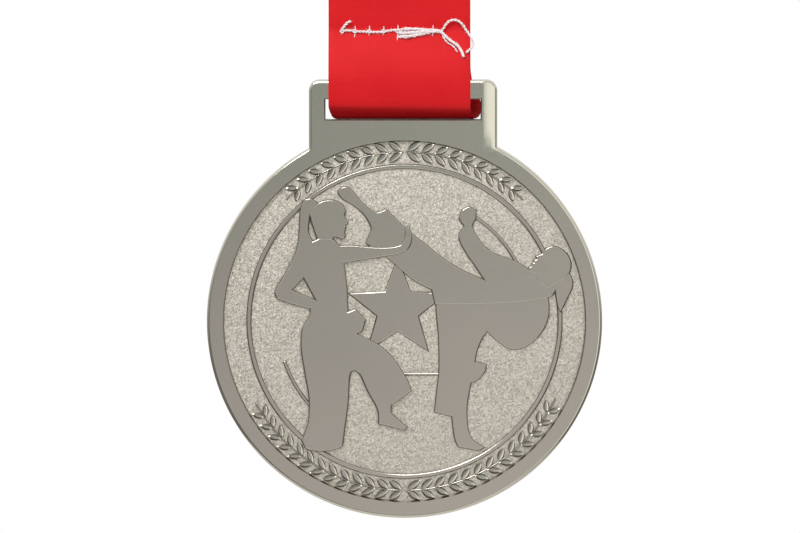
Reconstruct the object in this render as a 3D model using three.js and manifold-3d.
// Finisher medal on a ribbon: a die-cast medal hanging from a satin strip that is folded into a hank.
// Millimetres, +Z up, front of the medal towards -Y. The origin is the inside top of the ribbon's eye,
// which is where a peg or hook carries the whole object.
import * as THREE from 'three';
import { mergeVertices } from 'three/addons/utils/BufferGeometryUtils.js';
import Module from 'manifold-3d';

// Driving dimensions. Heights are counted from the centre of the medal's disc.
const DISC_RADIUS = 35;
const DISC_THICKNESS = 4;
const EDGE_CHAMFER = 0.5;
const FIELD_RADIUS = 32.15;
const FIELD_DEPTH = 0.9;
const BACK_RADIUS = 31;
const BACK_DEPTH = 0.6;
const TAB_HALF_WIDTH = 16.65;
const TAB_TOP = 42.8;
const TAB_CORNER = 1.8;
const SLOT_HALF_WIDTH = 13.72;
const SLOT_BOTTOM = 35.8;
const SLOT_TOP = 39.4;
const MEDAL_SHIFT = 0.9;            // the ribbon lies this much to the left of the medal's centre

const RIBBON_WIDTH = 25;
const RIBBON_THICKNESS = 0.45;
const STRAND_THICKNESS = 0.95;      // two layers of ribbon lying on each other
const LOOP_INNER_RADIUS = 3.55;
const TACK_HEIGHT = 51.5;           // where the two layers meet and are stitched together
const TWIST_HEIGHT = 62;            // the free strand turns about its length around here
const HANK_BOTTOM = 73;
const HANK_TOP = 145;
const HANK_WAIST = 5.4;             // thickness of the folded stack under its band
const HANK_FLARE = 9.4;             // thickness of the stack at its folds
const EYE_HOLE_WIDTH = 8;
const HANG_HEIGHT = 158;            // inside top of the eye
const BAND_WIDTH = 12;
const BAND_THICKNESS = 0.4;
const THREAD_DIAMETER = 0.45;
const GAP = 0.3;                    // clearance between pieces that touch

// Heights of the raised parts, as the front face's distance from the disc's middle plane.
const FRONT = DISC_THICKNESS / 2;
const FIELD = FRONT - FIELD_DEPTH;
const MOTIF_TOP = 1.35;
const LEAF_TOP = 1.5;
const RING_TOP = 1.55;
const FAR_FIGURE_TOP = 1.6;
const NEAR_FIGURE_TOP = 1.85;
const ROOT_DEPTH = 0.2;             // how far a raised part reaches into the field below it
const BAR_HEIGHT = (SLOT_TOP + TAB_TOP) / 2;

const SILVER = { color: 0x9b978f, roughness: 0.3, metalness: 1 };
const RED_SATIN = { color: 0xc8202a, roughness: 0.55, metalness: 0 };
const WHITE_THREAD = { color: 0xe9dfdc, roughness: 0.8, metalness: 0 };
const PAPER = { color: 0xe6e1d6, roughness: 0.85, metalness: 0 };

const wasm = await Module();
wasm.setup();

function toSolid(geometry) {
  geometry.deleteAttribute('normal');
  geometry.deleteAttribute('uv');
  const merged = mergeVertices(geometry, 1e-4);
  return new wasm.Manifold(new wasm.Mesh({
    numProp: 3,
    vertProperties: new Float32Array(merged.attributes.position.array),
    triVerts: new Uint32Array(merged.index.array),
  }));
}

function toGeometry(solid) {
  const mesh = solid.getMesh();
  const geometry = new THREE.BufferGeometry();
  geometry.setAttribute('position', new THREE.BufferAttribute(mesh.vertProperties, 3));
  geometry.setIndex(new THREE.BufferAttribute(mesh.triVerts, 1));
  return geometry;
}

function addMesh(parent, name, geometry, finish) {
  const mesh = new THREE.Mesh(geometry, new THREE.MeshStandardMaterial({ ...finish, flatShading: true }));
  mesh.name = name;
  parent.add(mesh);
}

// A plate in the XZ plane whose front face lies at y = -front and whose rear face lies at y = -rear.
function plate(shape, rear, front, curveSegments = 12) {
  const geometry = new THREE.ExtrudeGeometry(shape, { depth: front - rear, bevelEnabled: false, curveSegments });
  geometry.rotateX(Math.PI / 2);
  geometry.translate(0, -rear, 0);
  return geometry;
}

// A profile in the YZ plane, extruded along X to the ribbon's width and centred on x = 0.
function acrossX(shape, width, curveSegments = 12) {
  const geometry = new THREE.ExtrudeGeometry(shape, { depth: width, bevelEnabled: false, curveSegments });
  geometry.translate(0, 0, -width / 2);
  geometry.rotateY(Math.PI / 2);
  geometry.rotateX(Math.PI / 2);
  return geometry;
}

function polygon(points, holes = []) {
  const shape = new THREE.Shape(points.map(([x, z]) => new THREE.Vector2(x, z)));
  for (const hole of holes) shape.holes.push(new THREE.Path(hole.map(([x, z]) => new THREE.Vector2(x, z))));
  return shape;
}

function ellipse(x, z, radiusX, radiusZ, turn = 0) {
  const shape = new THREE.Shape();
  shape.absellipse(x, z, radiusX, radiusZ, 0, 2 * Math.PI, false, turn);
  return shape;
}

// An arc-shaped strip around the disc's centre; a full turn makes a closed ring.
function arcStrip(innerRadius, outerRadius, startDegrees, endDegrees) {
  const start = THREE.MathUtils.degToRad(startDegrees);
  const end = THREE.MathUtils.degToRad(endDegrees);
  const shape = new THREE.Shape();
  shape.absarc(0, 0, outerRadius, start, end, false);
  if (endDegrees - startDegrees >= 360) {
    const hole = new THREE.Path();
    hole.absarc(0, 0, innerRadius, start, end, true);
    shape.holes.push(hole);
  } else {
    shape.absarc(0, 0, innerRadius, end, start, true);
  }
  return shape;
}

// The disc with its chamfered edge, its recessed front field and its shallow back recess.
function discSolid() {
  const profile = [
    [0, -FIELD],
    [FIELD_RADIUS - 0.3, -FIELD],
    [FIELD_RADIUS, -FRONT],
    [DISC_RADIUS - EDGE_CHAMFER, -FRONT],
    [DISC_RADIUS, -FRONT + EDGE_CHAMFER],
    [DISC_RADIUS, FRONT - EDGE_CHAMFER],
    [DISC_RADIUS - EDGE_CHAMFER, FRONT],
    [BACK_RADIUS, FRONT],
    [BACK_RADIUS - 0.3, FRONT - BACK_DEPTH],
    [0, FRONT - BACK_DEPTH],
  ];
  return toSolid(new THREE.LatheGeometry(profile.map(([radius, y]) => new THREE.Vector2(radius, y)), 96));
}

// The hanger tab: straight sides, rounded top corners, and a curved foot inside the disc's rim.
function tabSolid() {
  const footRadius = FIELD_RADIUS + 1;
  const footAngle = Math.acos(TAB_HALF_WIDTH / footRadius);
  const shape = new THREE.Shape();
  shape.moveTo(TAB_HALF_WIDTH, footRadius * Math.sin(footAngle));
  shape.lineTo(TAB_HALF_WIDTH, TAB_TOP - TAB_CORNER);
  shape.absarc(TAB_HALF_WIDTH - TAB_CORNER, TAB_TOP - TAB_CORNER, TAB_CORNER, 0, Math.PI / 2, false);
  shape.absarc(TAB_CORNER - TAB_HALF_WIDTH, TAB_TOP - TAB_CORNER, TAB_CORNER, Math.PI / 2, Math.PI, false);
  shape.lineTo(-TAB_HALF_WIDTH, footRadius * Math.sin(footAngle));
  shape.absarc(0, 0, footRadius, Math.PI - footAngle, footAngle, true);
  return toSolid(plate(shape, -FRONT, FRONT));
}

function slotSolid() {
  const middle = (SLOT_BOTTOM + SLOT_TOP) / 2;
  const slot = new THREE.BoxGeometry(2 * SLOT_HALF_WIDTH, 2 * DISC_THICKNESS, SLOT_TOP - SLOT_BOTTOM);
  slot.translate(0, 0, middle);
  return toSolid(slot);
}

// The fighter who stands on the left and punches to the right: back, legs, leading leg, arm.
const NEAR_FIGURE = [
  [-15.6, 21.9], [-17.2, 22], [-18.4, 20.5], [-18.9, 15], [-19.6, 11.5], [-21.3, 8.6], [-23, 5.3],
  [-22.5, 4], [-20.1, 3.2], [-16.7, 2.3], [-16.9, 0.8], [-18.1, -1.1], [-18.4, -4.5], [-17.6, -9.4],
  [-16.9, -13.8], [-17.2, -18.1], [-18.4, -21.5], [-17.2, -22.8], [-12.8, -23], [-10.8, -22.3],
  [-10.6, -19.1], [-9.9, -14.7], [-9.6, -9.4], [-8.9, -8.7], [-7.9, -9.4], [-6.7, -12.3], [-4.8, -15.5],
  [-4.8, -18.1], [-2.1, -18.9], [0.6, -18.9], [-2.3, -16.4], [-2.3, -14.7], [1.3, -12.3], [-0.4, -8.7],
  [-4.5, -4], [-8.4, -2.1], [-7.4, -0.9], [-6.9, 0.6], [-8.9, 2.3], [-10.1, 2.7], [-10.1, 6.1],
  [-10.6, 10.5], [-4, 11.5], [-0.6, 12.2], [0.8, 13], [1.3, 14.9], [0.8, 17.1], [0, 16.2], [-0.6, 13.9],
  [-6, 13.4], [-12.5, 13.9],
];
const NEAR_FIGURE_HOLES = [
  [[-17.9, 7.6], [-19.8, 5.7], [-15.9, 4]],
  [[-16.5, 17], [-16.3, 14.5], [-15.4, 14.6], [-15.6, 16.4]],
];

// The fighter on the right who leans back on one leg and kicks high to the left.
const FAR_FIGURE = [
  [-11.6, 23.4], [-10.1, 23.9], [-8.6, 22.7], [-6, 20], [-4.5, 19.5], [-3.3, 20], [0.3, 16.6], [3.7, 13.9],
  [7.4, 11], [11.3, 8.8], [13.9, 7.6], [12.2, 10], [10.6, 12.4], [9.3, 15.4], [10.5, 17.1], [9.6, 18.1],
  [10.1, 20], [11.5, 20.5], [12.7, 19.8], [12.7, 18.3], [12, 16.9], [14.2, 13.4], [16.4, 12],
  [20.3, 10.5], [22.5, 9.1], [27.2, 9.3], [29.3, 8.1], [29.7, 6.4], [28.3, 3.2], [27.3, 1.3], [26.5, 4.6],
  [25.6, 4.2], [25.6, 0.8], [24.2, -2.1], [21.5, -4.5], [18.8, -5], [16.6, -3.6], [14.7, -1.9],
  [13.9, -3.1], [12.7, -6], [14.6, -7.4], [14.4, -8.9], [12, -10.9], [11.3, -14.2], [11.5, -19.6],
  [12.2, -21.1], [14.4, -22.3], [13, -23], [9.3, -22.3], [8.8, -21.1], [8.4, -16.9], [5.2, -16.2],
  [5.9, -8.4], [5.9, -2.6], [5.2, 3.2], [4.7, 5.7], [1.8, 7.1], [-1.1, 9.6], [-3.3, 11.5], [-6.9, 13.9],
  [-6.2, 16.6], [-6.9, 18.8], [-8.9, 20.7], [-11.3, 22.2],
];

// A plain five-pointed star behind the figures.
function starShape(x, z, outerRadius, innerRadius) {
  const points = [];
  for (let corner = 0; corner < 10; corner += 1) {
    const angle = Math.PI / 2 + (corner * Math.PI) / 5;
    const radius = corner % 2 === 0 ? outerRadius : innerRadius;
    points.push([x + radius * Math.cos(angle), z + radius * Math.sin(angle)]);
  }
  return polygon(points);
}

// One leaf of a laurel band, as a pointed four-cornered plate that leans out of the band's direction.
function leafShape(radius, angle, heading) {
  const length = 2.5;
  const halfWidth = 0.55;
  const base = new THREE.Vector2(radius, 0).rotateAround(new THREE.Vector2(), angle);
  const along = new THREE.Vector2(0, length).rotateAround(new THREE.Vector2(), angle + heading);
  const side = new THREE.Vector2(-along.y, along.x).normalize().multiplyScalar(halfWidth);
  const middle = base.clone().addScaledVector(along, 0.5);
  const corners = [base, middle.clone().sub(side), base.clone().add(along), middle.clone().add(side)];
  return polygon(corners.map((corner) => [corner.x, corner.y]));
}

// Leaves in pairs along one band, all pointing from the start angle towards the end angle.
function laurelBand(startDegrees, endDegrees, pairs) {
  const bandRadius = 30.1;
  const stemHalfWidth = 0.2;
  const lean = 0.5;
  const backwards = endDegrees < startDegrees;
  const leaves = [];
  for (let pair = 0; pair < pairs; pair += 1) {
    const angle = THREE.MathUtils.degToRad(startDegrees + ((endDegrees - startDegrees) * pair) / (pairs - 1));
    for (const side of [1, -1]) {
      const heading = backwards ? Math.PI + side * lean : -side * lean;
      leaves.push(leafShape(bandRadius + side * stemHalfWidth, angle, heading));
    }
  }
  return leaves;
}

function medalGeometry() {
  const relief = [
    [starShape(-1.2, 2.2, 9.5, 4), MOTIF_TOP],
    [arcStrip(22.1, 22.6, 198, 228), MOTIF_TOP],
    [arcStrip(22.1, 22.6, 22, 58), MOTIF_TOP],
    [arcStrip(27.1, 28, 0, 360), RING_TOP],
    [polygon(FAR_FIGURE), FAR_FIGURE_TOP],
    [ellipse(26.1, 9.6, 3.1, 3.5, 0.5), FAR_FIGURE_TOP],
    [polygon(NEAR_FIGURE, NEAR_FIGURE_HOLES), NEAR_FIGURE_TOP],
    [ellipse(-13.3, 18, 3, 3.7), NEAR_FIGURE_TOP],
  ];
  const bands = [
    [91, 134, 8],
    [89, 46, 8],
    [269, 209, 11],
    [271, 331, 11],
  ];
  for (const [start, end, pairs] of bands) {
    for (const leaf of laurelBand(start, end, pairs)) relief.push([leaf, LEAF_TOP]);
  }
  let medal = discSolid().add(tabSolid());
  for (const [shape, top] of relief) medal = medal.add(toSolid(plate(shape, FIELD - ROOT_DEPTH, top)));
  return toGeometry(medal.subtract(slotSolid()));
}

// The ribbon's end round the medal's bar: a teardrop loop that closes at the tack into a flat strand.
function loopGeometry() {
  const apex = TACK_HEIGHT - BAR_HEIGHT;
  const outerRadius = LOOP_INNER_RADIUS + RIBBON_THICKNESS;
  const halfStrand = STRAND_THICKNESS / 2;
  const outerLean = Math.acos(outerRadius / apex);
  const innerLean = Math.acos(LOOP_INNER_RADIUS / (apex - 1));
  const top = TWIST_HEIGHT - GAP / 2 - BAR_HEIGHT;
  const shape = new THREE.Shape();
  shape.moveTo(-halfStrand, top);
  shape.lineTo(-halfStrand, apex);
  shape.absarc(0, 0, outerRadius, Math.PI / 2 + outerLean, Math.PI / 2 - outerLean, false);
  shape.lineTo(halfStrand, apex);
  shape.lineTo(halfStrand, top);
  const hole = new THREE.Path();
  hole.absarc(0, 0, LOOP_INNER_RADIUS, Math.PI / 2 + innerLean, Math.PI / 2 - innerLean, false);
  hole.lineTo(0, apex - 1);
  shape.holes.push(hole);
  const geometry = acrossX(shape, RIBBON_WIDTH, 16);
  geometry.translate(0, 0, BAR_HEIGHT);
  return geometry;
}

// The doubled strand between the twist and the hank.
function strandGeometry() {
  const bottom = TWIST_HEIGHT + GAP / 2;
  const top = HANK_BOTTOM - GAP;
  const geometry = new THREE.BoxGeometry(RIBBON_WIDTH, STRAND_THICKNESS, top - bottom);
  geometry.translate(0, 0, (top + bottom) / 2);
  return geometry;
}

function hankHalfThickness(height) {
  const middle = (HANK_BOTTOM + HANK_TOP) / 2;
  const fromWaist = (height - middle) / (HANK_TOP - middle);
  return (HANK_WAIST + (HANK_FLARE - HANK_WAIST) * fromWaist * fromWaist) / 2;
}

// The folded ribbon: the outer shape of the zigzag stack, pressed thin at its waist, with rounded ends.
function hankGeometry() {
  const steps = 12;
  const rounding = 1.5;
  const side = [];
  for (let step = 0; step <= steps; step += 1) {
    const height = HANK_BOTTOM + rounding + ((HANK_TOP - HANK_BOTTOM - 2 * rounding) * step) / steps;
    side.push([hankHalfThickness(height), height]);
  }
  const inset = hankHalfThickness(HANK_TOP) - rounding;
  const right = [[inset, HANK_BOTTOM], ...side, [inset, HANK_TOP]];
  const left = right.map(([y, z]) => [-y, z]).reverse();
  return acrossX(polygon([...right, ...left]), RIBBON_WIDTH);
}

// The eye above the hank, with a straight way through it along X for a peg or a neck.
function eyeGeometry() {
  const wall = STRAND_THICKNESS;
  const holeRadius = EYE_HOLE_WIDTH / 2;
  const bottom = HANK_TOP + GAP;
  const centre = HANG_HEIGHT - holeRadius;
  const neck = 2.4;
  const shape = new THREE.Shape();
  shape.moveTo(neck, bottom);
  shape.lineTo(holeRadius + wall, bottom + 4);
  shape.absarc(0, centre, holeRadius + wall, 0, Math.PI, false);
  shape.lineTo(-holeRadius - wall, bottom + 4);
  shape.lineTo(-neck, bottom);
  const hole = new THREE.Path();
  hole.absarc(0, centre, holeRadius, 0, Math.PI, false);
  hole.lineTo(-holeRadius, bottom + 4);
  hole.lineTo(wall - neck, bottom + wall);
  hole.lineTo(neck - wall, bottom + wall);
  hole.lineTo(holeRadius, bottom + 4);
  shape.holes.push(hole);
  return acrossX(shape, RIBBON_WIDTH, 16);
}

// The paper band round the hank's waist.
function bandGeometry() {
  const middle = (HANK_BOTTOM + HANK_TOP) / 2;
  const halfDepth = hankHalfThickness(middle + BAND_WIDTH / 2) + GAP;
  const halfWidth = RIBBON_WIDTH / 2 + GAP;
  const rectangle = (x, y) => [[-x, -y], [x, -y], [x, y], [-x, y]];
  const outer = rectangle(halfWidth + BAND_THICKNESS, halfDepth + BAND_THICKNESS);
  const geometry = new THREE.ExtrudeGeometry(polygon(outer, [rectangle(halfWidth, halfDepth)]), {
    depth: BAND_WIDTH,
    bevelEnabled: false,
  });
  geometry.translate(0, 0, middle - BAND_WIDTH / 2);
  return geometry;
}

// A round thread through the given points, as a closed tube with eight sides.
function threadGeometry(points, diameter, steps) {
  const section = new THREE.Shape();
  section.absarc(0, 0, diameter / 2, 0, 2 * Math.PI, false);
  const path = new THREE.CatmullRomCurve3(points);
  return new THREE.ExtrudeGeometry(section, { steps, bevelEnabled: false, curveSegments: 8, extrudePath: path });
}

// The thread lies in front of the ribbon, whose front leg leans forward below the tack.
function onRibbon(x, height, lift = 0) {
  const apex = TACK_HEIGHT - BAR_HEIGHT;
  const lean = Math.asin((LOOP_INNER_RADIUS + RIBBON_THICKNESS) / apex);
  const forward = Math.max(0, TACK_HEIGHT - height) * Math.tan(lean);
  return new THREE.Vector3(x, -(STRAND_THICKNESS / 2 + GAP + THREAD_DIAMETER / 2 + forward + lift), height);
}

// The hand stitches, from the short end on the left to the last stitch on the right.
const TACK_ROUTE = [
  onRibbon(-8.6, 53.3), onRibbon(-9.6, 52.3), onRibbon(-10.2, 51.6), onRibbon(-8, 51.4),
  onRibbon(-3, 51.3), onRibbon(2, 51.4), onRibbon(7.4, 51.5),
];
// The loose end: it leaves the last stitch, loops over the ribbon's edge and comes back down.
const TAIL_ROUTE = [
  onRibbon(8.2, 52, 0.1), onRibbon(9.3, 53.3, 0.4), onRibbon(10.6, 53.6, 0.6), onRibbon(12, 52.8, 0.6),
  onRibbon(12.8, 50.8, 0.3), onRibbon(12.5, 49, 0.1), onRibbon(11.9, 47.9),
];

const medalAssembly = new THREE.Group();
medalAssembly.position.set(0, 0, -HANG_HEIGHT);

const medal = new THREE.Group();
medal.position.x = MEDAL_SHIFT;
addMesh(medal, 'medal_body', medalGeometry(), SILVER);
medalAssembly.add(medal);

addMesh(medalAssembly, 'ribbon_loop', loopGeometry(), RED_SATIN);
addMesh(medalAssembly, 'ribbon_strand', strandGeometry(), RED_SATIN);
addMesh(medalAssembly, 'ribbon_hank', hankGeometry(), RED_SATIN);
addMesh(medalAssembly, 'ribbon_eye', eyeGeometry(), RED_SATIN);
addMesh(medalAssembly, 'hank_band', bandGeometry(), PAPER);
addMesh(medalAssembly, 'tack_thread', threadGeometry(TACK_ROUTE, THREAD_DIAMETER, 24), WHITE_THREAD);
addMesh(medalAssembly, 'loose_thread', threadGeometry(TAIL_ROUTE, THREAD_DIAMETER, 24), WHITE_THREAD);

const group = new THREE.Group();
group.add(medalAssembly);
export default group;
